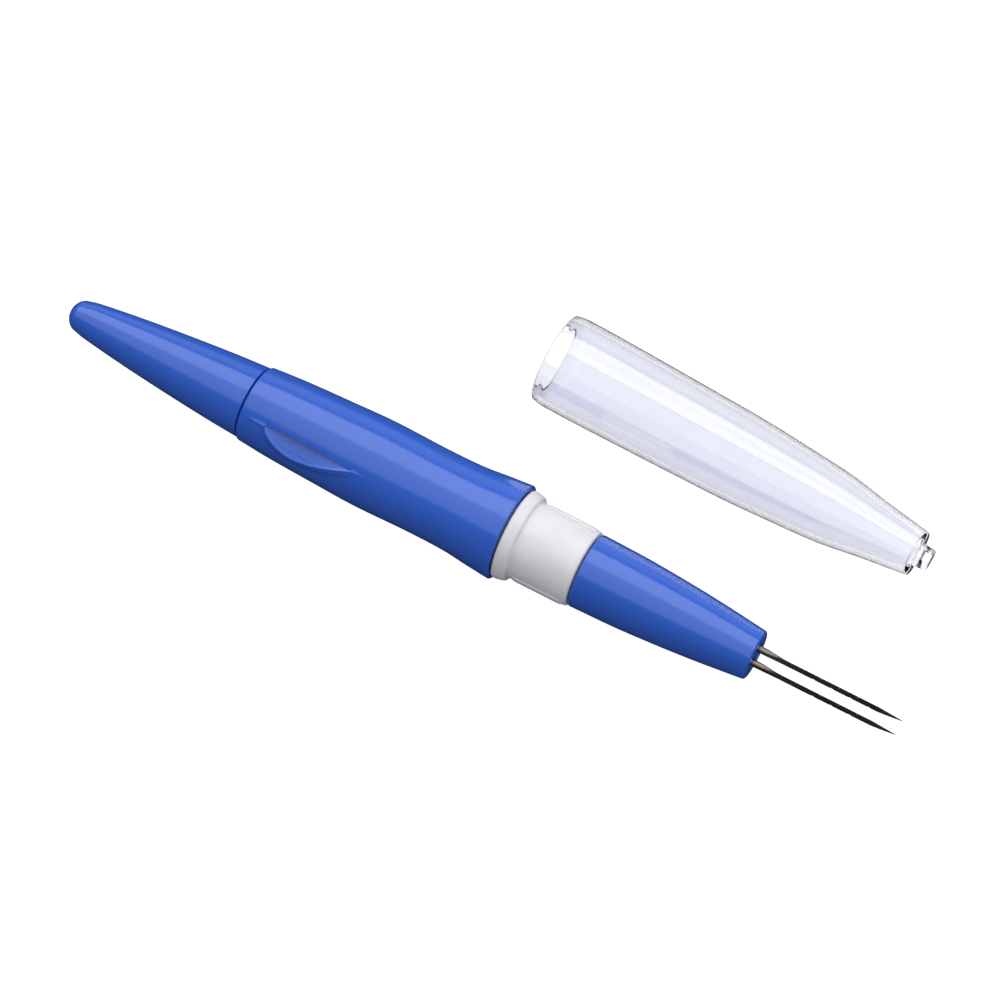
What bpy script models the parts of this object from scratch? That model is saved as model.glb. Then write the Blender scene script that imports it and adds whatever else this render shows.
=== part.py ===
"""Pen-style needle felting tool, lying beside its clear cap. Metres, +Z up.

The pen lies along X with its needles at +X, and the cap lies on its +Y side.
All lengths along the pen are measured from the tip of its tail.
"""

import math

import bpy
import bmesh
from mathutils import Matrix, Vector

MM = 0.001

# Lengths along the pen, from the tail tip
TAIL_JOIN = 35.7 * MM
BARREL_BACK = 36.0 * MM
BARREL_FRONT = 84.75 * MM
FLANGE_BACK = 85.05 * MM
FLANGE_FRONT = 87.3 * MM
NECK_FRONT = 98.3 * MM
NOSE_BACK = 98.6 * MM
NOSE_FRONT = 129.8 * MM
NEEDLE_TIP = 155.7 * MM

# Outer radii
TAIL_STATIONS = ((2.2, 2.85), (4.0, 3.25), (12.5, 4.35), (20.9, 5.22), (29.3, 5.97), (35.7, 6.4))
BARREL_STATIONS = (
    (36.0, 6.68), (42.0, 7.14), (50.4, 7.5), (58.8, 7.78), (69.0, 7.6), (75.7, 7.7), (80.4, 8.15), (84.75, 8.53),
)
NOSE_STATIONS = ((98.6, 6.48), (107.2, 6.25), (113.6, 5.86), (117.8, 5.54), (122.0, 5.15), (129.8, 4.3))
FLANGE_RADIUS = 7.9 * MM
NECK_RADIUS = 6.8 * MM
EDGE_ROUND = 0.35 * MM
NOSE_TIP_ROUND = 0.9 * MM

# Hidden fits: a spigot at each end of the barrel and a threaded one under the nose
FIT_GAP = 0.3 * MM
TAIL_SPIGOT_BACK = 27.4 * MM
TAIL_SPIGOT_RADIUS = 4.6 * MM
STORE_MOUTH_RADIUS = 3.4 * MM
STORE_RADIUS = 5.0 * MM
COLLAR_BACK = 66.0 * MM
COLLAR_SPIGOT_RADIUS = 6.2 * MM
COLLAR_BORE_RADIUS = 4.8 * MM
COLLAR_WEB_BACK = 93.0 * MM
THREAD_RADIUS = 4.7 * MM
THREAD_FRONT = 106.0 * MM
KEY_LENGTH = 3.0 * MM
KEY_WIDTH = 1.6 * MM
KEY_INNER = 3.0 * MM
KEY_OUTER = 4.5 * MM

# Needle holder: a flange that the nose pulls against the collar, and a stem
HOLDER_BACK = THREAD_FRONT + FIT_GAP
HOLDER_FLANGE_FRONT = 109.4 * MM
HOLDER_FRONT = 120.7 * MM
HOLDER_FLANGE_RADIUS = 4.65 * MM
HOLDER_STEM_RADIUS = 2.9 * MM
NOSE_EXIT_RADIUS = 2.4 * MM

# Needles: three seats on a triangle, two of them filled
NEEDLE_SPACING = 2.45 * MM
SEAT_CIRCLE = NEEDLE_SPACING / math.sqrt(3)
VIEW_SIDE_ANGLE = math.radians(68)
SHANK_RADIUS = 0.6 * MM
BLADE_RADIUS = 0.53 * MM
BEND_RADIUS = 0.8 * MM
LEG_END = 4.2 * MM
SHOULDER_BACK = 130.6 * MM
SHOULDER_FRONT = 135.0 * MM
POINT_BACK = 151.2 * MM

# Leaf-shaped finger recess in the barrel, with a raised lip below it
LEAF_BACK = 41.1 * MM
LEAF_FRONT = 57.6 * MM
LEAF_WIDEST = 0.36
LEAF_TIP_ANGLE = math.radians(46)
LEAF_UP = math.radians(4.5)
LEAF_DOWN = math.radians(22)
LEAF_DEPTH = 0.95 * MM
LEAF_SAG = 0.28 * MM
LIP_HEIGHT = 0.5 * MM
LIP_FLANK = math.radians(12)

# Clear cap, measured from its mouth
CAP_STATIONS = (
    (1.6, 8.2), (7.0, 8.2), (19.5, 7.95), (28.0, 7.75), (36.5, 7.5), (45.0, 6.97),
    (53.4, 6.3), (61.2, 5.05), (66.6, 4.3), (69.3, 3.95),
)
CAP_WALL = 1.1 * MM
CAP_BODY = 69.3 * MM
CAP_DEPTH = 68.7 * MM
CAP_MOUTH_RADIUS = 7.95 * MM
NUB_LENGTH = 2.2 * MM
NUB_RADIUS = 2.1 * MM

# Where the cap lies: the place of its mouth from the tail tip and the pen's axis
CAP_MOUTH_ALONG = 75.4 * MM
CAP_MOUTH_ASIDE = 31.8 * MM
CAP_YAW = math.radians(-1.8)
CAP_PITCH = math.radians(1.4)

ROUND_SIDES = 32
BARREL_SIDES = 72


def curve_radius(stations, x):
    """Radius at x on the smooth curve through the stations, which are in millimetres."""
    points = [(along * MM, radius * MM) for along, radius in stations]
    x = min(max(x, points[0][0]), points[-1][0])
    slopes = []
    for i in range(len(points)):
        before = points[max(i - 1, 0)]
        after = points[min(i + 1, len(points) - 1)]
        slopes.append((after[1] - before[1]) / (after[0] - before[0]))
    for i in range(len(points) - 1):
        (x0, r0), (x1, r1) = points[i], points[i + 1]
        if x <= x1:
            break
    step = x1 - x0
    t = (x - x0) / step
    return (
        (2 * t**3 - 3 * t**2 + 1) * r0
        + (t**3 - 2 * t**2 + t) * step * slopes[i]
        + (3 * t**2 - 2 * t**3) * r1
        + (t**3 - t**2) * step * slopes[i + 1]
    )


def spread(start, end, count):
    """Evenly spaced values from start to end, both included."""
    return [start + (end - start) * i / (count - 1) for i in range(count)]


def along_curve(stations, start, end, count):
    """(x, radius) pairs on a station curve."""
    return [(x, curve_radius(stations, x)) for x in spread(start, end, count)]


def material(name, colour, roughness, metallic=0.0, transmission=0.0):
    mat = bpy.data.materials.new(name)
    mat.use_nodes = True
    shader = mat.node_tree.nodes["Principled BSDF"]
    shader.inputs["Base Color"].default_value = (*colour, 1)
    shader.inputs["Roughness"].default_value = roughness
    shader.inputs["Metallic"].default_value = metallic
    shader.inputs["Transmission Weight"].default_value = transmission
    return mat


def finish(name, mesh_data, look, parent, place=0.0):
    """An object from a bmesh drawn in pen coordinates, with its origin on the axis at place."""
    bmesh.ops.recalc_face_normals(mesh_data, faces=mesh_data.faces)
    bmesh.ops.translate(mesh_data, verts=mesh_data.verts, vec=(-place, 0, 0))
    mesh = bpy.data.meshes.new(name)
    mesh_data.to_mesh(mesh)
    mesh_data.free()
    mesh.shade_smooth()
    mesh.set_sharp_from_angle(angle=math.radians(35))
    mesh.materials.append(look)
    obj = bpy.data.objects.new(name, mesh)
    bpy.context.collection.objects.link(obj)
    obj.parent = parent
    obj.location.x = place
    return obj


def lathe(profile, sides, shape=None):
    """A bmesh turned about X. The profile is a closed loop of (x, radius); shape may change a radius."""
    mesh_data = bmesh.new()
    rings = []
    for x, radius in profile:
        if radius < 1e-9:
            rings.append([mesh_data.verts.new((x, 0, 0))])
            continue
        ring = []
        for k in range(sides):
            angle = 2 * math.pi * k / sides
            r = shape(x, angle, radius) if shape else radius
            ring.append(mesh_data.verts.new((x, -r * math.cos(angle), r * math.sin(angle))))
        rings.append(ring)
    for i, ring in enumerate(rings):
        following = rings[(i + 1) % len(rings)]
        if len(ring) == 1 and len(following) == 1:
            continue
        for k in range(sides):
            j = (k + 1) % sides
            corners = [ring[k % len(ring)], ring[j % len(ring)], following[j % len(following)]]
            if len(following) > 1:
                corners.append(following[k])
            if len(ring) == 1:
                corners.pop(0)
            mesh_data.faces.new(corners)
    return mesh_data


def cutter(name, mesh_data, parent):
    mesh = bpy.data.meshes.new(name)
    bmesh.ops.recalc_face_normals(mesh_data, faces=mesh_data.faces)
    mesh_data.to_mesh(mesh)
    mesh_data.free()
    obj = bpy.data.objects.new(name, mesh)
    bpy.context.collection.objects.link(obj)
    obj.parent = parent
    obj.hide_render = True
    obj.display_type = "WIRE"
    return obj


def boolean(obj, tool, operation):
    modifier = obj.modifiers.new(f"{operation.lower()}_{tool.name}", "BOOLEAN")
    modifier.operation = operation
    modifier.object = tool


def radial_box(x_range, r_range, width, angle):
    """A bmesh box that reaches out from the axis at an angle about X, as lathe() counts angles."""
    mesh_data = bmesh.new()
    bmesh.ops.create_cube(mesh_data, size=1)
    size = Vector((x_range[1] - x_range[0], r_range[1] - r_range[0], width))
    bmesh.ops.scale(mesh_data, vec=size, verts=mesh_data.verts)
    middle = Vector((sum(x_range) / 2, -sum(r_range) / 2, 0))
    bmesh.ops.translate(mesh_data, verts=mesh_data.verts, vec=middle)
    bmesh.ops.rotate(mesh_data, verts=mesh_data.verts, matrix=Matrix.Rotation(-angle, 3, "X"))
    return mesh_data


def leaf_offset(x, angle, radius):
    """The barrel's radius with the leaf recess and its lip."""
    along = (x - LEAF_BACK) / (LEAF_FRONT - LEAF_BACK)
    if not 0 < along < 1:
        return radius
    power = math.log(0.5) / math.log(LEAF_WIDEST)
    swell = math.sin(math.pi * along**power)
    upper = LEAF_TIP_ANGLE + LEAF_UP * swell
    lower = LEAF_TIP_ANGLE - LEAF_DOWN * swell
    across = (angle - lower) / (upper - lower)
    if 0 < across < 1:
        flat = 4 * LEAF_SAG * across * (1 - across)
        return radius + swell * (LIP_HEIGHT * (1 - across) - LEAF_DEPTH * across - flat)
    below = (lower - angle) / LIP_FLANK
    if 0 <= below < 1:
        return radius + LIP_HEIGHT * swell * (1 - below)
    return radius


def tail_cap(look, parent):
    """Hollow tapered tail that pulls off the barrel's back spigot."""
    nose_round = [(0.0, 0.0)]
    for angle in spread(math.radians(20), math.radians(75), 4):
        nose_round.append((2.4 * MM * (1 - math.cos(angle)), 2.85 * MM * math.sin(angle)))
    outer = nose_round + along_curve(TAIL_STATIONS, 2.4 * MM, TAIL_JOIN - EDGE_ROUND, 12)
    rim = [(TAIL_JOIN, curve_radius(TAIL_STATIONS, TAIL_JOIN) - EDGE_ROUND)]
    socket = TAIL_SPIGOT_RADIUS + FIT_GAP
    well = [
        (TAIL_JOIN, socket),
        (TAIL_SPIGOT_BACK - 0.7 * MM, socket),
        (TAIL_SPIGOT_BACK - 0.7 * MM, 4.0 * MM),
        (9.0 * MM, 2.3 * MM),
        (7.6 * MM, 1.3 * MM),
        (7.2 * MM, 0.0),
    ]
    return finish("rear_cap", lathe(outer + rim + well, ROUND_SIDES), look, parent, TAIL_JOIN)


def barrel(look, parent):
    """Hollow grip shell with a back spigot, a needle store and a front socket."""
    body = along_curve(BARREL_STATIONS, BARREL_BACK + EDGE_ROUND, BARREL_FRONT - EDGE_ROUND, 36)
    front_radius = curve_radius(BARREL_STATIONS, BARREL_FRONT)
    profile = [
        (TAIL_SPIGOT_BACK, STORE_MOUTH_RADIUS),
        (TAIL_SPIGOT_BACK, TAIL_SPIGOT_RADIUS - EDGE_ROUND),
        (TAIL_SPIGOT_BACK + EDGE_ROUND, TAIL_SPIGOT_RADIUS),
        (BARREL_BACK, TAIL_SPIGOT_RADIUS),
        (BARREL_BACK, curve_radius(BARREL_STATIONS, BARREL_BACK) - EDGE_ROUND),
        *body,
        (BARREL_FRONT, front_radius - EDGE_ROUND),
        (BARREL_FRONT, COLLAR_SPIGOT_RADIUS + FIT_GAP),
        (COLLAR_BACK - FIT_GAP, COLLAR_SPIGOT_RADIUS + FIT_GAP),
        (COLLAR_BACK - FIT_GAP, STORE_RADIUS),
        (BARREL_BACK + 2 * MM, STORE_RADIUS),
        (BARREL_BACK + 1 * MM, STORE_MOUTH_RADIUS),
    ]

    def leaf_on_outside(x, angle, radius):
        return leaf_offset(x, angle, radius) if radius > 6.5 * MM else radius

    return finish("barrel", lathe(profile, BARREL_SIDES, leaf_on_outside), look, parent)


def collar(look, parent):
    """White collar fixed in the barrel: flange, neck for the cap, and threaded spigot for the nose."""
    profile = [
        (COLLAR_BACK, COLLAR_BORE_RADIUS),
        (COLLAR_BACK, COLLAR_SPIGOT_RADIUS - EDGE_ROUND),
        (COLLAR_BACK + EDGE_ROUND, COLLAR_SPIGOT_RADIUS),
        (FLANGE_BACK, COLLAR_SPIGOT_RADIUS),
        (FLANGE_BACK, FLANGE_RADIUS - 0.1 * MM),
        (FLANGE_BACK + 0.8 * MM, FLANGE_RADIUS),
        (FLANGE_FRONT - 0.5 * MM, FLANGE_RADIUS - 0.1 * MM),
        (FLANGE_FRONT, FLANGE_RADIUS - 0.5 * MM),
        (FLANGE_FRONT, NECK_RADIUS + 0.05 * MM),
        (FLANGE_FRONT + 0.4 * MM, NECK_RADIUS - 0.1 * MM),
        (NECK_FRONT - EDGE_ROUND, NECK_RADIUS),
        (NECK_FRONT, NECK_RADIUS - EDGE_ROUND),
        (NECK_FRONT, THREAD_RADIUS),
        (THREAD_FRONT - EDGE_ROUND, THREAD_RADIUS),
        (THREAD_FRONT, THREAD_RADIUS - EDGE_ROUND),
        (THREAD_FRONT, STORE_MOUTH_RADIUS - 1.2 * MM),
        (COLLAR_WEB_BACK + 1.5 * MM, STORE_MOUTH_RADIUS - 1.2 * MM),
        (COLLAR_WEB_BACK, COLLAR_BORE_RADIUS),
    ]
    obj = finish("collar", lathe(profile, ROUND_SIDES), look, parent)
    key_ends = (THREAD_FRONT - 1 * MM, THREAD_FRONT + KEY_LENGTH)
    key = radial_box(key_ends, (KEY_INNER, KEY_OUTER), KEY_WIDTH, VIEW_SIDE_ANGLE)
    boolean(obj, cutter("collar_key", key, parent), "UNION")
    for side in (-1, 1):
        rib_ends = (FLANGE_FRONT + 1.2 * MM, NECK_FRONT - 0.8 * MM)
        rib_angle = VIEW_SIDE_ANGLE + side * math.radians(80)
        rib = radial_box(rib_ends, (NECK_RADIUS - 1 * MM, NECK_RADIUS + 0.18 * MM), 1.4 * MM, rib_angle)
        boolean(obj, cutter(f"neck_rib_{side + 2}", rib, parent), "UNION")
    return obj


def nose_cone(look, parent):
    """Hollow nose that screws over the threaded spigot and pulls the needle holder in."""
    outer = along_curve(NOSE_STATIONS, NOSE_BACK + EDGE_ROUND, NOSE_FRONT - NOSE_TIP_ROUND, 14)
    rim = curve_radius(NOSE_STATIONS, NOSE_FRONT - NOSE_TIP_ROUND)
    tip = []
    for angle in spread(math.radians(30), math.radians(90), 3):
        tip.append((
            NOSE_FRONT - NOSE_TIP_ROUND * (1 - math.sin(angle)),
            rim - NOSE_TIP_ROUND * (1 - math.cos(angle)),
        ))
    bore = THREAD_RADIUS + FIT_GAP
    shoulder = HOLDER_FLANGE_FRONT + FIT_GAP
    inner = [
        (NOSE_FRONT, NOSE_EXIT_RADIUS),
        (HOLDER_FRONT + FIT_GAP, NOSE_EXIT_RADIUS),
        (HOLDER_FRONT + FIT_GAP, HOLDER_STEM_RADIUS + FIT_GAP),
        (shoulder, HOLDER_STEM_RADIUS + FIT_GAP),
        (shoulder, bore),
        (NOSE_BACK, bore),
        (NOSE_BACK, curve_radius(NOSE_STATIONS, NOSE_BACK) - EDGE_ROUND),
    ]
    return finish("nose_cone", lathe(outer + tip + inner, ROUND_SIDES), look, parent, NOSE_BACK)


def seat_angles():
    """Angles of the three needle seats: the first two are filled."""
    return [VIEW_SIDE_ANGLE + math.radians(turn) for turn in (60, -60, 180)]


def needle_holder(look, parent):
    """Insert with three seats, each a hole through the stem and a slot for the bent end."""
    profile = [
        (HOLDER_BACK, 0.0),
        (HOLDER_BACK, HOLDER_FLANGE_RADIUS),
        (HOLDER_FLANGE_FRONT, HOLDER_FLANGE_RADIUS),
        (HOLDER_FLANGE_FRONT, HOLDER_STEM_RADIUS),
        (HOLDER_FRONT - EDGE_ROUND, HOLDER_STEM_RADIUS),
        (HOLDER_FRONT, HOLDER_STEM_RADIUS - EDGE_ROUND),
        (HOLDER_FRONT, 0.0),
    ]
    obj = finish("needle_holder", lathe(profile, ROUND_SIDES), look, parent)
    clear = SHANK_RADIUS + FIT_GAP
    slot_front = HOLDER_BACK + 2 * SHANK_RADIUS + FIT_GAP
    for number, angle in enumerate(seat_angles(), 1):
        hole = lathe([(HOLDER_BACK - MM, 0), (HOLDER_BACK - MM, clear), (HOLDER_FRONT + MM, clear),
                      (HOLDER_FRONT + MM, 0)], 12)
        centre = Vector((0, -SEAT_CIRCLE * math.cos(angle), SEAT_CIRCLE * math.sin(angle)))
        bmesh.ops.translate(hole, verts=hole.verts, vec=centre)
        boolean(obj, cutter(f"seat_hole_{number}", hole, parent), "DIFFERENCE")
        slot = radial_box((HOLDER_BACK - MM, slot_front), (SEAT_CIRCLE, 6 * MM), 2 * clear, angle)
        boolean(obj, cutter(f"seat_slot_{number}", slot, parent), "DIFFERENCE")
    notch_ends = (HOLDER_BACK - MM, HOLDER_FLANGE_FRONT + MM)
    notch = radial_box(notch_ends, (KEY_INNER - FIT_GAP, 6 * MM), KEY_WIDTH + 2 * FIT_GAP, VIEW_SIDE_ANGLE)
    boolean(obj, cutter("key_notch", notch, parent), "DIFFERENCE")
    return obj


def triangle_radius(angle):
    """Polar radius, as a share of the corner radius, of a triangle with blunt corners."""
    sector = 2 * math.pi / 3
    off_corner = (angle + sector / 2) % sector - sector / 2
    flat = 0.5 / math.cos(sector / 2 - abs(off_corner))
    return min(flat, 0.9)


def needle(name, angle, look, parent):
    """Felting needle: bent end, round shank, cone shoulder, three-cornered blade and point."""
    sides = 12
    stations = []
    out = SEAT_CIRCLE + BEND_RADIUS
    bend_x = HOLDER_BACK + SHANK_RADIUS
    for r in (LEG_END, out):
        stations.append(((bend_x, r), math.pi / 2, SHANK_RADIUS, 0))
    for turn in (math.radians(30), math.radians(60), math.pi / 2):
        x = bend_x + BEND_RADIUS * (1 - math.cos(turn))
        r = out - BEND_RADIUS * math.sin(turn)
        stations.append(((x, r), math.pi / 2 - turn, SHANK_RADIUS, 0))
    for x, radius, blade in (
        (SHOULDER_BACK, SHANK_RADIUS, 0),
        (SHOULDER_FRONT, BLADE_RADIUS, 1),
        (POINT_BACK, BLADE_RADIUS, 1),
        (NEEDLE_TIP - 1.2 * MM, BLADE_RADIUS * 0.35, 1),
    ):
        stations.append(((x, SEAT_CIRCLE), 0, radius, blade))
    mesh_data = bmesh.new()
    rings = []
    for (x, r), lean, radius, blade in stations:
        ring = []
        for k in range(sides):
            around = 2 * math.pi * k / sides
            share = 1 + blade * (triangle_radius(around) / 0.9 - 1)
            side_way = radius * share * math.cos(around)
            up_way = radius * share * math.sin(around)
            ring.append(mesh_data.verts.new((
                x + up_way * math.sin(lean), -(r + up_way * math.cos(lean)), side_way,
            )))
        rings.append(ring)
    for ring, following in zip(rings, rings[1:]):
        for k in range(sides):
            j = (k + 1) % sides
            mesh_data.faces.new((ring[k], ring[j], following[j], following[k]))
    mesh_data.faces.new(rings[0])
    point = mesh_data.verts.new((NEEDLE_TIP, -SEAT_CIRCLE, 0))
    for k in range(sides):
        mesh_data.faces.new((rings[-1][k], rings[-1][(k + 1) % sides], point))
    bmesh.ops.rotate(mesh_data, verts=mesh_data.verts, matrix=Matrix.Rotation(-angle, 3, "X"))
    return finish(name, mesh_data, look, parent)


def clear_cap(look, parent):
    """Clear push-on cap with a chamfered mouth and a small faceted nub on its closed end."""
    outer = [(0.0, CAP_MOUTH_RADIUS - 0.25 * MM), (0.5 * MM, CAP_MOUTH_RADIUS)]
    outer += along_curve(CAP_STATIONS, 1.6 * MM, CAP_BODY - 0.4 * MM, 20)
    outer += [
        (CAP_BODY, 3.4 * MM),
        (CAP_BODY, NUB_RADIUS),
        (CAP_BODY + NUB_LENGTH - EDGE_ROUND, NUB_RADIUS * 0.92),
        (CAP_BODY + NUB_LENGTH, NUB_RADIUS * 0.75),
        (CAP_BODY + NUB_LENGTH, 0.0),
    ]
    inner = [(CAP_DEPTH, 0.0), (CAP_DEPTH, 2.2 * MM), (CAP_DEPTH - 0.7 * MM, 2.9 * MM)]
    for x in spread(CAP_DEPTH - 2.4 * MM, 1.6 * MM, 12):
        inner.append((x, curve_radius(CAP_STATIONS, x) - CAP_WALL))
    inner.append((0.0, CAP_MOUTH_RADIUS - CAP_WALL + 0.25 * MM))
    return finish("clear_cap", lathe(outer + inner, ROUND_SIDES), look, parent)


def empty(name):
    obj = bpy.data.objects.new(name, None)
    bpy.context.collection.objects.link(obj)
    return obj


def world_corners(objects):
    """Lowest and highest corner of the objects' meshes in the world."""
    bpy.context.view_layer.update()
    points = [obj.matrix_world @ vertex.co for obj in objects for vertex in obj.data.vertices]
    low = Vector([min(p[axis] for p in points) for axis in range(3)])
    high = Vector([max(p[axis] for p in points) for axis in range(3)])
    return low, high


def main():
    for obj in list(bpy.data.objects):
        bpy.data.objects.remove(obj)
    blue = material("blue_plastic", (0.045, 0.12, 0.56), 0.22)
    white = material("white_plastic", (0.78, 0.77, 0.78), 0.4)
    steel = material("steel", (0.32, 0.31, 0.30), 0.28, metallic=1.0)
    clear = material("clear_plastic", (0.93, 0.93, 0.98), 0.06, transmission=0.95)

    pen = empty("pen_axis")
    pen_parts = [
        tail_cap(blue, pen),
        barrel(blue, pen),
        collar(white, pen),
        needle_holder(white, pen),
        nose_cone(blue, pen),
    ]
    for number, angle in enumerate(seat_angles()[:2], 1):
        pen_parts.append(needle(f"needle_{number}", angle, steel, pen))

    aside = empty("cap_axis")
    cap = clear_cap(clear, aside)
    aside.location = (CAP_MOUTH_ALONG, CAP_MOUTH_ASIDE, 0)
    aside.rotation_euler = (0, CAP_PITCH, CAP_YAW)

    # Both lie on z = 0, and the whole is centred over the origin.
    aside.location.z = -world_corners([cap])[0].z
    pen.location.z = -world_corners(pen_parts)[0].z
    low, high = world_corners([*pen_parts, cap])
    for axis in (pen, aside):
        axis.location.x -= (low.x + high.x) / 2
        axis.location.y -= (low.y + high.y) / 2


main()
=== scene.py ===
"""Needle felting pen and its clear cap: finished surfaces, studio light and camera.

Pieces are drawn in pen coordinates: x runs from the tail tip to the needle tips, and an angle
about the axis counts from the viewer's side, over the top, to the cap's side.
"""

import math

import bmesh
import bpy
from mathutils import Matrix, Vector


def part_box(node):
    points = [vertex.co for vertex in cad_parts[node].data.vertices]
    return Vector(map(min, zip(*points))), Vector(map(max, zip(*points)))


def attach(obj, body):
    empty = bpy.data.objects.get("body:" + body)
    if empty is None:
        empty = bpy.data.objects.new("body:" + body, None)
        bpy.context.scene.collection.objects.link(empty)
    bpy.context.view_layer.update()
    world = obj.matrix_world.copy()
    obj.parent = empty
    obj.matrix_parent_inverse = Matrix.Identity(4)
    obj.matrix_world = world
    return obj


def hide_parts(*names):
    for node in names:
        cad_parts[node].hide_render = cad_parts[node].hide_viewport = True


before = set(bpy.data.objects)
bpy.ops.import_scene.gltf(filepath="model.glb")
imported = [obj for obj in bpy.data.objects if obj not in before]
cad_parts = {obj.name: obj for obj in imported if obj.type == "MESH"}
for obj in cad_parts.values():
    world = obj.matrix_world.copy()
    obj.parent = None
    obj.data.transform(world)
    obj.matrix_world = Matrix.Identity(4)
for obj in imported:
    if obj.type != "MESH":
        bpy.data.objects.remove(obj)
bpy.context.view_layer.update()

MM = 0.001

# Lengths along the pen, from the tail tip
TAIL_JOIN = 35.7 * MM
BARREL_BACK = 36.0 * MM
BARREL_FRONT = 84.75 * MM
FLANGE_BACK = 85.05 * MM
FLANGE_FRONT = 87.3 * MM
NECK_FRONT = 98.3 * MM
NOSE_BACK = 98.6 * MM
NOSE_FRONT = 129.8 * MM
NEEDLE_TIP = 155.7 * MM

# Outer radii, as (place, radius) in millimetres
TAIL_STATIONS = ((2.2, 2.85), (4.0, 3.25), (12.5, 4.35), (20.9, 5.22), (29.3, 5.97), (35.7, 6.4))
BARREL_STATIONS = (
    (36.0, 6.68), (42.0, 7.14), (50.4, 7.5), (58.8, 7.78),
    (69.0, 7.6), (75.7, 7.7), (80.4, 8.15), (84.75, 8.53),
)
NOSE_STATIONS = ((98.6, 6.48), (107.2, 6.25), (113.6, 5.86), (117.8, 5.54), (122.0, 5.15), (129.8, 4.3))
CAP_STATIONS = (
    (1.6, 8.2), (7.0, 8.2), (19.5, 7.95), (28.0, 7.75), (36.5, 7.5), (45.0, 6.97),
    (53.4, 6.3), (61.2, 5.05), (66.6, 4.3), (69.3, 3.95),
)
FLANGE_RADIUS = 7.9 * MM
NECK_RADIUS = 6.8 * MM
TAIL_TIP_LENGTH = 2.4 * MM
TAIL_TIP_RADIUS = 2.85 * MM

# Hidden fits
FIT_GAP = 0.3 * MM
TAIL_SPIGOT_BACK = 27.4 * MM
TAIL_SPIGOT_RADIUS = 4.6 * MM
STORE_MOUTH_RADIUS = 3.4 * MM
STORE_RADIUS = 5.0 * MM
COLLAR_BACK = 66.0 * MM
COLLAR_SPIGOT_RADIUS = 6.2 * MM
COLLAR_BORE_RADIUS = 4.8 * MM
COLLAR_WEB_BACK = 93.0 * MM
THREAD_RADIUS = 4.7 * MM
THREAD_FRONT = 106.0 * MM
THREAD_PITCH = 1.5 * MM
THREAD_DEPTH = 0.35 * MM
NEEDLE_BORE_RADIUS = 2.2 * MM
WELL_RADIUS = 4.0 * MM
HOLDER_BACK = THREAD_FRONT + FIT_GAP
HOLDER_FLANGE_FRONT = 109.4 * MM
HOLDER_FRONT = 120.7 * MM
HOLDER_STEM_RADIUS = 2.9 * MM
NOSE_EXIT_RADIUS = 2.4 * MM

# On the collar: two low ribs and a faint slit on its neck, and the key that stops the holder turning
RIB_HEIGHT = 0.18 * MM
RIB_ANGLE = math.radians(80)
SLIT_DEPTH = 0.12 * MM
KEY_WIDTH = 1.6 * MM
KEY_LENGTH = 4.0 * MM
KEY_HEIGHT = 1.5 * MM
KEY_MIDDLE = 3.75 * MM

# Needles
SEAT_CIRCLE = 2.45 / math.sqrt(3) * MM
VIEW_SIDE = math.radians(68)
SHANK_RADIUS = 0.6 * MM
BLADE_RADIUS = 0.53 * MM
BEND_RADIUS = 0.8 * MM
LEG_END = 4.2 * MM
SHOULDER_BACK = 130.6 * MM
SHOULDER_FRONT = 135.0 * MM
POINT_BACK = 151.2 * MM
BARB_DEPTH = 0.09 * MM
BARB_PITCH = 3.3 * MM

# Leaf-shaped recess in the barrel
LEAF_BACK = 41.1 * MM
LEAF_FRONT = 57.6 * MM
LEAF_WIDEST = 0.36
LEAF_TIP_ANGLE = math.radians(46)
LEAF_UP = math.radians(4.5)
LEAF_DOWN = math.radians(22)
LEAF_DEPTH = 0.95 * MM
LEAF_SAG = 0.28 * MM
LIP_HEIGHT = 0.5 * MM
LIP_FLANK = math.radians(12)
BEAD_HEIGHT = 0.12 * MM
BEAD_HALF = math.radians(2)
SEAM_ANGLE = math.radians(31)
SEAM_HEIGHT = 0.03 * MM

# Clear cap, measured from its mouth
CAP_WALL = 1.1 * MM
CAP_BODY = 69.3 * MM
CAP_DEPTH = 68.7 * MM
CAP_MOUTH_RADIUS = 7.95 * MM
NUB_LENGTH = 2.2 * MM
NUB_RADIUS = 2.1 * MM
CAP_MOUTH_ALONG = 75.4 * MM
CAP_MOUTH_ASIDE = 31.8 * MM
CAP_YAW = math.radians(-1.8)
CAP_PITCH = math.radians(1.4)

# Camera: its direction and distance, the width that it sees there, and where it aims
CAMERA_AZIMUTH = math.radians(29)
CAMERA_ELEVATION = math.radians(65)
CAMERA_DISTANCE = 0.6
CAMERA_FIELD = 0.1644
CAMERA_SENSOR = 36
AIM_RIGHT = 4.17 * MM
AIM_UP = 2.25 * MM

# Light
BOX_HEIGHT = 0.6
BOX_LENGTH = 2.4
GLOSSY_FILL = 0.06
DIFFUSE_FILL = 0.22
BACKDROP_BRIGHTNESS = 1.3

nose_low, nose_high = (Vector(corner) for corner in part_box("nose_cone"))
tail_low = Vector(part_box("rear_cap")[0])
PEN_TAIL = Vector((tail_low.x, (nose_low.y + nose_high.y) / 2, (nose_low.z + nose_high.z) / 2))
PEN = Matrix.Translation(PEN_TAIL)


def spread(start, end, count):
    """Evenly spaced values from start to end, both included."""
    return [start + (end - start) * i / (count - 1) for i in range(count)]


def smooth_step(low, high, value):
    """Rises smoothly from 0 at low to 1 at high."""
    t = min(max((value - low) / (high - low), 0.0), 1.0)
    return t * t * (3 - 2 * t)


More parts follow.
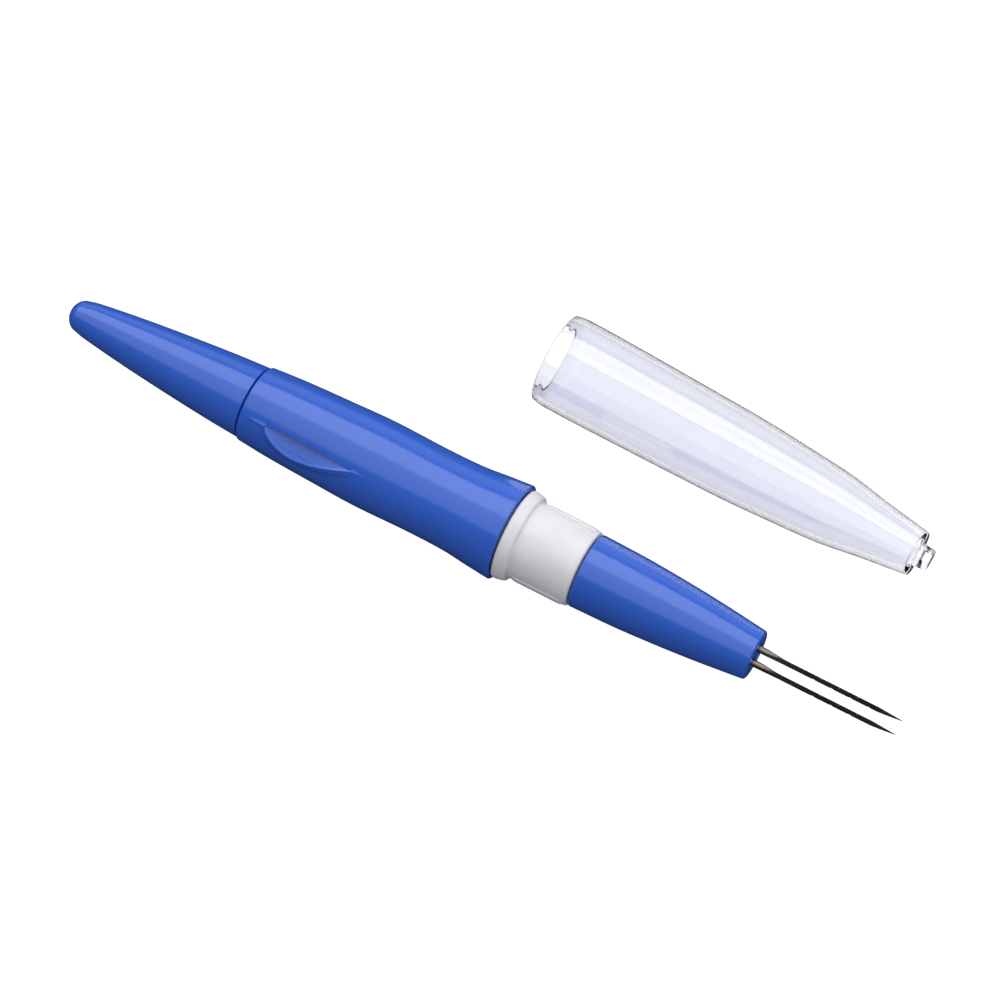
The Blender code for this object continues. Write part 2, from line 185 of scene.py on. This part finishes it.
def curve_radius(stations, x):
    """Radius at x on the smooth curve through the stations, which are in millimetres."""
    points = [(along * MM, radius * MM) for along, radius in stations]
    x = min(max(x, points[0][0]), points[-1][0])
    slopes = []
    for i in range(len(points)):
        before = points[max(i - 1, 0)]
        after = points[min(i + 1, len(points) - 1)]
        slopes.append((after[1] - before[1]) / (after[0] - before[0]))
    for i in range(len(points) - 1):
        (x0, r0), (x1, r1) = points[i], points[i + 1]
        if x <= x1:
            break
    step = x1 - x0
    t = (x - x0) / step
    return (
        (2 * t**3 - 3 * t**2 + 1) * r0
        + (t**3 - 2 * t**2 + t) * step * slopes[i]
        + (3 * t**2 - 2 * t**3) * r1
        + (t**3 - t**2) * step * slopes[i + 1]
    )


def along_curve(stations, start, end, step=0.5 * MM):
    """Sharp (x, radius, ease) corners along a station curve."""
    count = max(int((end - start) / step) + 1, 3)
    return [(x, curve_radius(stations, x), 0) for x in spread(start, end, count)]


def eased(corners, steps=5):
    """The closed outline with each corner of (x, radius, ease) rounded over its ease length."""
    outline = []
    for i, (x, radius, ease) in enumerate(corners):
        here = Vector((x, radius))
        if ease == 0:
            outline.append((x, radius))
            continue
        before = Vector(corners[i - 1][:2])
        after = Vector(corners[(i + 1) % len(corners)][:2])
        start = here + (before - here).normalized() * min(ease, (before - here).length * 0.49)
        end = here + (after - here).normalized() * min(ease, (after - here).length * 0.49)
        for t in spread(0, 1, steps):
            point = start * (1 - t) ** 2 + here * 2 * t * (1 - t) + end * t**2
            outline.append((point.x, point.y))
    return outline


def turned(outline, angles, shape=None):
    """A bmesh turned about X through the angles. shape may change a radius by place and angle."""
    shell = bmesh.new()
    sides = len(angles)
    rings = []
    for x, radius in outline:
        if radius < 1e-8:
            rings.append([shell.verts.new((x, 0, 0))])
            continue
        ring = []
        for angle in angles:
            r = shape(x, angle, radius) if shape else radius
            ring.append(shell.verts.new((x, -r * math.cos(angle), r * math.sin(angle))))
        rings.append(ring)
    for i, ring in enumerate(rings):
        following = rings[(i + 1) % len(rings)]
        if len(ring) == 1 and len(following) == 1:
            continue
        for k in range(sides):
            j = (k + 1) % sides
            corners = [ring[k % len(ring)], ring[j % len(ring)], following[j % len(following)]]
            if len(following) > 1:
                corners.append(following[k])
            if len(ring) == 1:
                corners.pop(0)
            shell.faces.new(corners)
    return shell


def round_angles(sides, fine_from=0.0, fine_to=0.0, fine_step=0.0):
    """Angles once round, closer together between two of them."""
    angles = []
    angle = 0.0
    while angle < 2 * math.pi - 1e-6:
        angles.append(angle)
        angle += fine_step if fine_from < angle < fine_to else 2 * math.pi / sides
    return angles


def piece(name, shell, look, body, node, matrix=PEN, sharp=40):
    """A finished object that stands for its CAD node and rides on its body."""
    bmesh.ops.recalc_face_normals(shell, faces=shell.faces)
    mesh = bpy.data.meshes.new(name)
    shell.to_mesh(mesh)
    shell.free()
    mesh.shade_smooth()
    mesh.set_sharp_from_angle(angle=math.radians(sharp))
    mesh.materials.append(look)
    obj = bpy.data.objects.new(name, mesh)
    bpy.context.collection.objects.link(obj)
    obj.matrix_world = matrix
    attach(obj, body)
    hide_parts(node)
    return obj


class Look:
    """A node material built round one Principled shader."""

    def __init__(self, name):
        self.material = bpy.data.materials.new(name)
        self.material.use_nodes = True
        self.tree = self.material.node_tree
        self.shader = self.tree.nodes["Principled BSDF"]
        self.coords = self.add("ShaderNodeTexCoord").outputs["Object"]

    def add(self, kind, **settings):
        node = self.tree.nodes.new(kind)
        for key, value in settings.items():
            setattr(node, key, value)
        return node

    def link(self, output, target):
        self.tree.links.new(output, target)

    def set(self, **values):
        for key, value in values.items():
            self.shader.inputs[key.replace("_", " ")].default_value = value

    def noise(self, per_mm, stretch=(1, 1, 1), detail=3, rough=0.5):
        """Noise with that many features a millimetre; stretch divides its rate along each axis."""
        mapping = self.add("ShaderNodeMapping")
        mapping.inputs["Scale"].default_value = [per_mm / MM / s for s in stretch]
        self.link(self.coords, mapping.inputs["Vector"])
        noise = self.add("ShaderNodeTexNoise")
        noise.inputs["Scale"].default_value = 1
        noise.inputs["Detail"].default_value = detail
        noise.inputs["Roughness"].default_value = rough
        self.link(mapping.outputs["Vector"], noise.inputs["Vector"])
        return noise.outputs["Fac"]

    def ramp(self, value, stops, target=None):
        """A colour or grey ramp; each stop is (position, colour or grey)."""
        ramp = self.add("ShaderNodeValToRGB")
        elements = ramp.color_ramp.elements
        while len(elements) < len(stops):
            elements.new(0.5)
        for element, (position, tone) in zip(elements, stops):
            element.position = position
            element.color = (tone, tone, tone, 1) if isinstance(tone, float) else (*tone, 1)
        self.link(value, ramp.inputs["Fac"])
        if target:
            self.link(ramp.outputs["Color"], self.shader.inputs[target])
        return ramp.outputs["Color"]

    def mix(self, factor, first, second, target=None, blend="MIX"):
        """Mixes two colours; factor is an output or a number, and so is each colour."""
        mix = self.add("ShaderNodeMix", data_type="RGBA", blend_type=blend)
        for socket, value in ((mix.inputs[0], factor), (mix.inputs[6], first), (mix.inputs[7], second)):
            if isinstance(value, bpy.types.NodeSocket):
                self.link(value, socket)
            elif isinstance(value, tuple):
                socket.default_value = (*value, 1)
            else:
                socket.default_value = value
        if target:
            self.link(mix.outputs[2], self.shader.inputs[target])
        return mix.outputs[2]

    def bump(self, heights):
        """Chained bumps; each is (height output, depth in millimetres, strength)."""
        last = None
        for height, depth, strength in heights:
            bump = self.add("ShaderNodeBump")
            bump.inputs["Strength"].default_value = strength
            bump.inputs["Distance"].default_value = depth * MM
            self.link(height, bump.inputs["Height"])
            if last:
                self.link(last, bump.inputs["Normal"])
            last = bump.outputs["Normal"]
        self.link(last, self.shader.inputs["Normal"])


def blue_plastic():
    """Glossy moulded blue: slight sink marks, flow streaks and handling scratches."""
    look = Look("blue_gloss_plastic")
    look.set(IOR=1.5, Specular_IOR_Level=0.5, Coat_Weight=0.6, Coat_Roughness=0.08)
    tone = look.ramp(look.noise(0.06, (3, 1, 1)), [
        (0.3, (0.026, 0.112, 0.57)), (0.7, (0.031, 0.124, 0.62)),
    ])
    speck = look.ramp(look.noise(2.2, detail=2), [(0.72, 0.0), (0.78, 0.35)])
    look.mix(speck, tone, (0.05, 0.15, 0.64), "Base Color")
    scratches = look.noise(5, (60, 1, 1), detail=2)
    look.ramp(scratches, [(0.35, 0.2), (0.75, 0.3)], "Roughness")
    sink = look.noise(0.1, (2.5, 1, 1), detail=1)
    grain = look.noise(9, detail=2)
    look.bump([(sink, 0.12, 0.5), (scratches, 0.004, 0.25), (grain, 0.003, 0.2)])
    return look.material


def white_plastic():
    """Satin white with faint mottling, grey scuffs and a few specks."""
    look = Look("white_satin_plastic")
    look.set(IOR=1.5, Specular_IOR_Level=0.4, Subsurface_Weight=0.08, Subsurface_Scale=0.002)
    tone = look.ramp(look.noise(0.25, (2, 1, 1), detail=4), [
        (0.3, (0.72, 0.715, 0.745)), (0.7, (0.8, 0.795, 0.83)),
    ])
    scuff = look.ramp(look.noise(0.9, (1, 2, 2), detail=3), [(0.66, 0.0), (0.78, 0.4)])
    worn = look.mix(scuff, tone, (0.55, 0.55, 0.58))
    speck = look.ramp(look.noise(3.0, detail=1), [(0.77, 0.0), (0.8, 0.6)])
    look.mix(speck, worn, (0.38, 0.36, 0.36), "Base Color")
    fine = look.noise(4, (4, 1, 1), detail=3)
    look.ramp(fine, [(0.3, 0.34), (0.7, 0.46)], "Roughness")
    look.bump([(look.noise(0.5, detail=2), 0.03, 0.3), (fine, 0.008, 0.3)])
    return look.material


def needle_steel():
    """Hardened steel: brownish heat tint on the shank, grey blade, grinding lines along it."""
    look = Look("needle_steel")
    look.set(Metallic=1.0)
    split = look.add("ShaderNodeSeparateXYZ")
    look.link(look.coords, split.inputs[0])
    along = look.add("ShaderNodeMapRange")
    along.inputs["From Min"].default_value = SHOULDER_BACK
    along.inputs["From Max"].default_value = NEEDLE_TIP
    look.link(split.outputs["X"], along.inputs["Value"])
    tint = look.ramp(along.outputs["Result"], [
        (0.0, (0.42, 0.35, 0.27)), (0.2, (0.34, 0.33, 0.32)),
        (0.8, (0.27, 0.27, 0.275)), (1.0, (0.5, 0.49, 0.48)),
    ])
    lines = look.noise(6, (40, 1, 1), detail=3)
    patches = look.ramp(lines, [(0.3, 0.55), (0.7, 1.0)])
    look.mix(1.0, tint, patches, "Base Color", blend="MULTIPLY")
    look.ramp(look.noise(2, (10, 1, 1)), [(0.3, 0.2), (0.7, 0.38)], "Roughness")
    look.bump([(lines, 0.01, 0.35)])
    return look.material


def clear_plastic():
    """Clear moulded plastic with a faint lavender cast, flow lines and scuffs."""
    look = Look("clear_cap_plastic")
    look.set(
        Base_Color=(0.8, 0.803, 0.86, 1), Transmission_Weight=1.0, IOR=1.5, Specular_IOR_Level=0.6,
        Coat_Weight=1.0, Coat_IOR=1.6, Coat_Roughness=0.03,
    )
    scuffs = look.noise(1.6, (5, 1, 1), detail=5, rough=0.65)
    look.ramp(scuffs, [(0.5, 0.02), (0.75, 0.09)], "Roughness")
    flow = look.noise(0.15, (4, 1, 1), detail=2)
    look.bump([(flow, 0.03, 0.3)])
    return look.material


def seam_line(angle):
    """Height of the moulding line at an angle: two thin ridges opposite each other."""
    off = abs((angle - SEAM_ANGLE + math.pi / 2) % math.pi - math.pi / 2)
    return SEAM_HEIGHT * max(0.0, 1 - off / math.radians(0.9))


def leaf_shape(x, angle):
    """How far the barrel's surface stands off its turned shape round the leaf."""
    along = (x - LEAF_BACK) / (LEAF_FRONT - LEAF_BACK)
    ridge = smooth_step(BARREL_BACK, LEAF_BACK, x)
    ridge *= 1 - smooth_step(LEAF_FRONT - 2 * MM, LEAF_FRONT + 4 * MM, x)
    if not 0 < along < 1:
        off = abs(angle - LEAF_TIP_ANGLE) / math.radians(5)
        return 0.45 * LIP_HEIGHT * ridge * max(0.0, 1 - off) ** 2 if off < 1 else 0.0
    power = math.log(0.5) / math.log(LEAF_WIDEST)
    swell = math.sin(math.pi * along**power)
    upper = LEAF_TIP_ANGLE + LEAF_UP * swell
    lower = LEAF_TIP_ANGLE - LEAF_DOWN * swell
    across = (angle - lower) / (upper - lower)
    lip = LIP_HEIGHT * (0.45 + 0.55 * swell) * ridge
    bead = BEAD_HEIGHT * ridge * max(0.0, 1 - abs(angle - lower) / BEAD_HALF) ** 2
    if angle < lower:
        off = (lower - angle) / LIP_FLANK
        return bead + lip * (1 - smooth_step(0.2, 1, off))
    if across < 1:
        sag = 4 * LEAF_SAG * across * (1 - across)
        floor = lip * (1 - across) - swell * (LEAF_DEPTH * across + sag)
        return bead + floor * (1 - smooth_step(0.95, 1.0, across))
    return 0.0


def tail_piece(look):
    """Hollow tail with a rounded tip and a socket for the barrel's spigot."""
    outer = [(0.0, 0.0, 0)]
    for angle in spread(math.radians(8), math.radians(78), 14):
        outer.append((TAIL_TIP_LENGTH * (1 - math.cos(angle)), TAIL_TIP_RADIUS * math.sin(angle), 0))
    outer += along_curve(TAIL_STATIONS, TAIL_TIP_LENGTH, TAIL_JOIN - 0.6 * MM)
    socket = TAIL_SPIGOT_RADIUS + FIT_GAP
    back = TAIL_SPIGOT_BACK - 0.7 * MM
    rest = [
        (TAIL_JOIN, curve_radius(TAIL_STATIONS, TAIL_JOIN), 0.35 * MM),
        (TAIL_JOIN, socket, 0.25 * MM),
        (back, socket, 0.2 * MM),
        (back, WELL_RADIUS, 0.2 * MM),
        (9.0 * MM, 2.3 * MM, 0.4 * MM),
        (7.6 * MM, 1.3 * MM, 0.3 * MM),
        (7.2 * MM, 0.0, 0),
    ]

    def shape(x, angle, radius):
        outside = radius > curve_radius(TAIL_STATIONS, x) - 0.05 * MM and x > 3 * MM
        return radius + seam_line(angle) if outside else radius

    shell = turned(eased(outer + rest), round_angles(180), shape)
    return piece("tail_shell", shell, look, "tail", "rear_cap")


def barrel_piece(look):
    """Grip shell with the leaf recess, a back spigot, a needle store and a front socket."""
    outer = [
        (BARREL_BACK, TAIL_SPIGOT_RADIUS, 0.15 * MM),
        (BARREL_BACK, curve_radius(BARREL_STATIONS, BARREL_BACK), 0.4 * MM),
        *along_curve(BARREL_STATIONS, BARREL_BACK + 0.6 * MM, BARREL_FRONT - 0.6 * MM, 0.22 * MM),
        (BARREL_FRONT, curve_radius(BARREL_STATIONS, BARREL_FRONT), 0.45 * MM),
    ]
    rest = [
        (BARREL_FRONT, COLLAR_SPIGOT_RADIUS + FIT_GAP, 0.2 * MM),
        (COLLAR_BACK - FIT_GAP, COLLAR_SPIGOT_RADIUS + FIT_GAP, 0.2 * MM),
        (COLLAR_BACK - FIT_GAP, STORE_RADIUS, 0.2 * MM),
        (BARREL_BACK + 2 * MM, STORE_RADIUS, 0.3 * MM),
        (BARREL_BACK + 1 * MM, STORE_MOUTH_RADIUS, 0.3 * MM),
        (TAIL_SPIGOT_BACK, STORE_MOUTH_RADIUS, 0.15 * MM),
        (TAIL_SPIGOT_BACK, TAIL_SPIGOT_RADIUS, 0.35 * MM),
    ]

    def shape(x, angle, radius):
        outside = curve_radius(BARREL_STATIONS, x) - 0.05 * MM
        if radius < outside or x < BARREL_BACK + 0.3 * MM or x > BARREL_FRONT - 0.2 * MM:
            return radius
        return radius + leaf_shape(x, angle) + seam_line(angle)

    angles = round_angles(150, math.radians(5), math.radians(55), math.radians(0.45))
    shell = turned(eased(outer + rest), angles, shape)
    return piece("barrel_shell", shell, look, "handle", "barrel", sharp=60)


def collar_piece(look):
    """White collar: spigot in the barrel, flange, neck, screw thread and the holder's key."""
    neck_back = FLANGE_FRONT + 0.05 * MM
    corners = [
        (COLLAR_BACK, COLLAR_BORE_RADIUS, 0.15 * MM),
        (COLLAR_BACK, COLLAR_SPIGOT_RADIUS, 0.35 * MM),
        (FLANGE_BACK, COLLAR_SPIGOT_RADIUS, 0.1 * MM),
        (FLANGE_BACK, FLANGE_RADIUS, 0.3 * MM),
        (FLANGE_BACK + 0.9 * MM, FLANGE_RADIUS, 0.5 * MM),
        (FLANGE_FRONT, FLANGE_RADIUS - 0.35 * MM, 0.35 * MM),
        (neck_back, NECK_RADIUS - 0.05 * MM, 0.25 * MM),
    ]
    for x in spread(FLANGE_FRONT + 0.6 * MM, NECK_FRONT - 1.2 * MM, 24):
        corners.append((x, NECK_RADIUS, 0))
    corners += [
        (NECK_FRONT - 0.9 * MM, NECK_RADIUS, 0.2 * MM),
        (NECK_FRONT, NECK_RADIUS - 0.1 * MM, 0.45 * MM),
        (NECK_FRONT, THREAD_RADIUS, 0.15 * MM),
    ]
    for x in spread(NECK_FRONT + 0.3 * MM, THREAD_FRONT - 0.6 * MM, 48):
        corners.append((x, THREAD_RADIUS, 0))
    corners += [
        (THREAD_FRONT, THREAD_RADIUS, 0.3 * MM),
        (THREAD_FRONT, NEEDLE_BORE_RADIUS, 0.2 * MM),
        (COLLAR_WEB_BACK + 1.5 * MM, NEEDLE_BORE_RADIUS, 0.3 * MM),
        (COLLAR_WEB_BACK, COLLAR_BORE_RADIUS, 0.3 * MM),
    ]

    def rib(x, angle):
        """Two long low ribs on the neck that grip the cap."""
        ends = smooth_step(FLANGE_FRONT + 0.9 * MM, FLANGE_FRONT + 1.6 * MM, x)
        ends *= 1 - smooth_step(NECK_FRONT - 1.2 * MM, NECK_FRONT - 0.6 * MM, x)
        height = 0.0
        for side in (-1, 1):
            off = abs(angle - VIEW_SIDE - side * RIB_ANGLE)
            off = min(off, 2 * math.pi - off)
            height += RIB_HEIGHT * (1 - smooth_step(math.radians(4.5), math.radians(6.5), off))
        return ends * height

    def shape(x, angle, radius):
        if FLANGE_FRONT + 0.3 * MM < x < NECK_FRONT - 0.2 * MM and radius > NECK_RADIUS - 0.2 * MM:
            slit = smooth_step(math.radians(118), math.radians(121), angle)
            slit *= 1 - smooth_step(math.radians(150), math.radians(153), angle)
            slit *= smooth_step(NECK_FRONT - 3.6 * MM, NECK_FRONT - 3.3 * MM, x)
            return radius + rib(x, angle) - SLIT_DEPTH * slit
        if NECK_FRONT + 0.2 * MM < x < THREAD_FRONT - 0.5 * MM and radius > 4 * MM:
            phase = (x / THREAD_PITCH - angle / (2 * math.pi)) % 1
            return radius - THREAD_DEPTH * smooth_step(0.15, 0.45, abs(phase - 0.5))
        return radius

    shell = turned(eased(corners), round_angles(216), shape)
    key = bmesh.new()
    bmesh.ops.create_cube(key, size=1)
    bmesh.ops.scale(key, vec=(KEY_LENGTH, KEY_HEIGHT, KEY_WIDTH), verts=key.verts)
    bmesh.ops.translate(key, vec=(THREAD_FRONT + 1.0 * MM, -KEY_MIDDLE, 0), verts=key.verts)
    bmesh.ops.rotate(key, verts=key.verts, matrix=Matrix.Rotation(-VIEW_SIDE, 3, "X"))
    bmesh.ops.bevel(key, geom=key.edges[:], offset=0.2 * MM, segments=2, affect="EDGES")
    joined = bpy.data.meshes.new("collar_key_mesh")
    key.to_mesh(joined)
    key.free()
    shell.from_mesh(joined)
    bpy.data.meshes.remove(joined)
    return piece("collar_body", shell, look, "handle", "collar")


def nose_piece(look):
    """Hollow nose with a rounded tip and a stepped bore for the needle holder."""
    bore = THREAD_RADIUS + FIT_GAP
    shoulder = HOLDER_FLANGE_FRONT + FIT_GAP
    stem = HOLDER_STEM_RADIUS + FIT_GAP
    corners = [
        (NOSE_BACK, bore, 0.2 * MM),
        (NOSE_BACK, curve_radius(NOSE_STATIONS, NOSE_BACK), 0.4 * MM),
        *along_curve(NOSE_STATIONS, NOSE_BACK + 0.6 * MM, NOSE_FRONT - 1.0 * MM),
        (NOSE_FRONT, curve_radius(NOSE_STATIONS, NOSE_FRONT), 0.85 * MM),
        (NOSE_FRONT, NOSE_EXIT_RADIUS, 0.25 * MM),
        (HOLDER_FRONT + FIT_GAP, NOSE_EXIT_RADIUS, 0.1 * MM),
        (HOLDER_FRONT + FIT_GAP, stem, 0.1 * MM),
        (shoulder, stem, 0.2 * MM),
        (shoulder, bore, 0.2 * MM),
    ]

    def shape(x, angle, radius):
        outside = radius > curve_radius(NOSE_STATIONS, x) - 0.05 * MM and x < NOSE_FRONT - 1.0 * MM
        return radius + seam_line(angle) if outside else radius

    shell = turned(eased(corners, 7), round_angles(180), shape)
    return piece("nose_shell", shell, look, "nose", "nose_cone")


def triangle_share(angle):
    """Polar radius of a triangle with blunt corners, as a share of its corner radius."""
    sector = 2 * math.pi / 3
    off_corner = abs((angle + sector / 2) % sector - sector / 2)
    flat = 0.5 / math.cos(sector / 2 - off_corner)
    return min(flat / 0.9, 1.0)


def needle_piece(name, node, seat, look):
    """Felting needle with a bent end, cone shoulder, three-cornered blade, barbs and point."""
    sides = 36
    stations = []
    out = SEAT_CIRCLE + BEND_RADIUS
    bend_x = HOLDER_BACK + SHANK_RADIUS
    stations.append(((bend_x, LEG_END), math.pi / 2, SHANK_RADIUS * 0.7, 0))
    stations.append(((bend_x, LEG_END - 0.25 * MM), math.pi / 2, SHANK_RADIUS, 0))
    stations.append(((bend_x, out), math.pi / 2, SHANK_RADIUS, 0))
    for turn in spread(math.radians(10), math.pi / 2, 8):
        x = bend_x + BEND_RADIUS * (1 - math.cos(turn))
        r = out - BEND_RADIUS * math.sin(turn)
        stations.append(((x, r), math.pi / 2 - turn, SHANK_RADIUS, 0))
    for x in spread(SHOULDER_BACK, SHOULDER_FRONT, 8):
        t = smooth_step(SHOULDER_BACK, SHOULDER_FRONT, x)
        stations.append(((x, SEAT_CIRCLE), 0, SHANK_RADIUS + t * (BLADE_RADIUS - SHANK_RADIUS), t))
    for x in spread(SHOULDER_FRONT + 0.3 * MM, POINT_BACK, 110):
        stations.append(((x, SEAT_CIRCLE), 0, BLADE_RADIUS, 1))
    for x in spread(POINT_BACK + 0.4 * MM, NEEDLE_TIP - 0.3 * MM, 10):
        t = (NEEDLE_TIP - x) / (NEEDLE_TIP - POINT_BACK)
        stations.append(((x, SEAT_CIRCLE), 0, BLADE_RADIUS * t**0.75, 1))

    def barb(x, around):
        """A notch in an edge of the blade: steep towards the shank, shallow towards the point."""
        edge = int(around / (2 * math.pi / 3) + 0.5) % 3
        off = abs((around + math.pi / 3) % (2 * math.pi / 3) - math.pi / 3)
        if off > math.radians(16) or not SHOULDER_FRONT + 4 * MM < x < POINT_BACK - 0.5 * MM:
            return 0.0
        phase = ((x - SHOULDER_FRONT) / BARB_PITCH + edge / 3) % 1
        return BARB_DEPTH * max(0.0, 1 - abs(phase - 0.12) / 0.11)

    shell = bmesh.new()
    rings = []
    for (x, r), lean, radius, blade in stations:
        ring = []
        for k in range(sides):
            around = 2 * math.pi * k / sides
            share = 1 + blade * (triangle_share(around) - 1)
            reach = radius * share - (barb(x, around) if blade == 1 else 0)
            up_way = reach * math.sin(around)
            ring.append(shell.verts.new((
                x + up_way * math.sin(lean), -(r + up_way * math.cos(lean)), reach * math.cos(around),
            )))
        rings.append(ring)
    for ring, following in zip(rings, rings[1:]):
        for k in range(sides):
            j = (k + 1) % sides
            shell.faces.new((ring[k], ring[j], following[j], following[k]))
    shell.faces.new(rings[0])
    point = shell.verts.new((NEEDLE_TIP, -SEAT_CIRCLE, 0))
    for k in range(sides):
        shell.faces.new((rings[-1][k], rings[-1][(k + 1) % sides], point))
    angle = VIEW_SIDE + math.radians(seat)
    bmesh.ops.rotate(shell, verts=shell.verts, matrix=Matrix.Rotation(-angle, 3, "X"))
    return piece(name, shell, look, "needle_set", node)


def cap_piece(look):
    """Clear cap with a chamfered mouth and a faceted nub, lying tilted on the floor."""
    corners = [
        (0.0, CAP_MOUTH_RADIUS - CAP_WALL, 0.3 * MM),
        (0.0, CAP_MOUTH_RADIUS - 0.1 * MM, 0.35 * MM),
        (1.6 * MM, 8.2 * MM, 0.8 * MM),
        *along_curve(CAP_STATIONS, 2.6 * MM, CAP_BODY - 0.8 * MM, 0.6 * MM),
        (CAP_BODY, 3.85 * MM, 0.45 * MM),
        (CAP_BODY, NUB_RADIUS, 0.15 * MM),
        (CAP_BODY + NUB_LENGTH, NUB_RADIUS * 0.85, 0.2 * MM),
        (CAP_BODY + NUB_LENGTH, 0.0, 0),
        (CAP_DEPTH, 0.0, 0),
        (CAP_DEPTH, 2.7 * MM, 0.8 * MM),
    ]
    for x in spread(CAP_DEPTH - 2.4 * MM, 2.6 * MM, 100):
        corners.append((x, curve_radius(CAP_STATIONS, x) - CAP_WALL, 0))

    def shape(x, angle, radius):
        if x > CAP_BODY + 0.05 * MM:
            side = math.pi / 3
            off = (angle + 0.2) % side - side / 2
            return radius * (0.9 / math.cos(off))
        if radius > curve_radius(CAP_STATIONS, x) - 0.05 * MM and 2 * MM < x < CAP_BODY - 1 * MM:
            return radius + seam_line(angle + math.radians(60))
        return radius

    shell = turned(eased(corners), round_angles(180), shape)
    tilt = Matrix.Rotation(CAP_YAW, 4, "Z") @ Matrix.Rotation(CAP_PITCH, 4, "Y")
    bmesh.ops.transform(shell, matrix=tilt, verts=shell.verts)
    lowest = min(vertex.co.z for vertex in shell.verts)
    mouth = Vector((PEN_TAIL.x + CAP_MOUTH_ALONG, PEN_TAIL.y + CAP_MOUTH_ASIDE, -lowest))
    place = Matrix.Translation(mouth)
    return piece("clear_cap_shell", shell, look, "cap", "clear_cap", place)


def floor():
    """Pale lit floor: near white where it is seen, dimmer in what it throws back."""
    mesh = bpy.data.meshes.new("floor")
    mesh.from_pydata([(-3, -3, 0), (3, -3, 0), (3, 3, 0), (-3, 3, 0)], [], [(0, 1, 2, 3)])
    look = Look("pale_floor")
    look.set(Roughness=0.9, Specular_IOR_Level=0.0)
    path = look.add("ShaderNodeLightPath")
    seen = look.add("ShaderNodeMath", operation="MAXIMUM")
    look.link(path.outputs["Is Camera Ray"], seen.inputs[0])
    look.link(path.outputs["Is Transmission Ray"], seen.inputs[1])
    thrown = look.mix(path.outputs["Is Glossy Ray"], (0.4, 0.4, 0.43), (0.03, 0.03, 0.035))
    look.mix(seen.outputs[0], thrown, (0.25, 0.25, 0.25), "Base Color")
    look.shader.inputs["Emission Color"].default_value = (1, 1, 1, 1)
    look.link(seen.outputs[0], look.shader.inputs["Emission Strength"])
    mesh.materials.append(look.material)
    obj = bpy.data.objects.new("floor", mesh)
    bpy.context.collection.objects.link(obj)


def softbox(name, back, height, width, radiance, colour=(1, 1, 1), aimed=False):
    """A long light over the pen: it faces straight down or, if aimed, towards the pen."""
    data = bpy.data.lights.new(name, "AREA")
    data.shape = "RECTANGLE"
    data.size, data.size_y = BOX_LENGTH, width
    data.energy = radiance * math.pi * BOX_LENGTH * width
    data.color = colour
    obj = bpy.data.objects.new(name, data)
    bpy.context.collection.objects.link(obj)
    centre = Vector((0, back, height))
    facing = centre.normalized() if aimed else Vector((0, 0, 1))
    along = Vector((1, 0, 0))
    up = facing.cross(along)
    turn = Matrix((along, up, facing)).transposed().to_4x4()
    obj.matrix_world = Matrix.Translation(centre) @ turn
    obj.visible_camera = False


def studio():
    """Two wide softboxes overhead, a low strip behind, and a weak even fill."""
    world = bpy.data.worlds.new("studio")
    bpy.context.scene.world = world
    world.use_nodes = True
    nodes = world.node_tree.nodes
    links = world.node_tree.links
    path = nodes.new("ShaderNodeLightPath")
    fill = nodes.new("ShaderNodeMapRange")
    fill.inputs["To Min"].default_value = GLOSSY_FILL
    fill.inputs["To Max"].default_value = DIFFUSE_FILL
    strength = nodes.new("ShaderNodeMapRange")
    strength.inputs["To Max"].default_value = BACKDROP_BRIGHTNESS
    background = nodes["Background"]
    background.inputs["Color"].default_value = (0.95, 0.96, 1.0, 1)
    links.new(path.outputs["Is Diffuse Ray"], fill.inputs["Value"])
    seen = nodes.new("ShaderNodeMath")
    seen.operation = "MAXIMUM"
    links.new(path.outputs["Is Camera Ray"], seen.inputs[0])
    links.new(path.outputs["Is Transmission Ray"], seen.inputs[1])
    links.new(seen.outputs[0], strength.inputs["Value"])
    links.new(fill.outputs["Result"], strength.inputs["To Min"])
    links.new(strength.outputs["Result"], background.inputs["Strength"])
    softbox("back_box", 0.30, BOX_HEIGHT, 0.6, 1.8, (0.98, 0.99, 1.0))
    softbox("front_box", -0.29, BOX_HEIGHT, 0.56, 0.78)
    softbox("low_strip", 0.9, 0.3, 0.5, 0.45, aimed=True)


def camera():
    """A camera above and in front of the needle end, with the pen across the picture."""
    toward = Vector((
        math.sin(CAMERA_AZIMUTH) * math.cos(CAMERA_ELEVATION),
        -math.cos(CAMERA_AZIMUTH) * math.cos(CAMERA_ELEVATION),
        math.sin(CAMERA_ELEVATION),
    ))
    right = Vector((math.cos(CAMERA_AZIMUTH), math.sin(CAMERA_AZIMUTH), 0))
    up = toward.cross(right)
    middle = PEN_TAIL + Vector((NEEDLE_TIP / 2, 0, 0))
    target = middle + right * AIM_RIGHT + up * AIM_UP
    data = bpy.data.cameras.new("camera")
    data.sensor_width = CAMERA_SENSOR
    data.lens = data.sensor_width * CAMERA_DISTANCE / CAMERA_FIELD
    data.clip_start = 0.01
    obj = bpy.data.objects.new("camera", data)
    bpy.context.collection.objects.link(obj)
    turn = Matrix((right, up, toward)).transposed().to_4x4()
    obj.matrix_world = Matrix.Translation(target + toward * CAMERA_DISTANCE) @ turn
    bpy.context.scene.camera = obj


def main():
    blue = blue_plastic()
    white = white_plastic()
    steel = needle_steel()
    clear = clear_plastic()
    camera()
    tail_piece(blue)
    barrel_piece(blue)
    collar_piece(white)
    nose_piece(blue)
    needle_piece("felting_needle_1", "needle_1", 60, steel)
    needle_piece("felting_needle_2", "needle_2", -60, steel)
    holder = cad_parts["needle_holder"]
    holder.data.materials.clear()
    holder.data.materials.append(white)
    cap_piece(clear)
    floor()
    studio()
    bpy.context.scene.view_settings.view_transform = "Standard"


main()
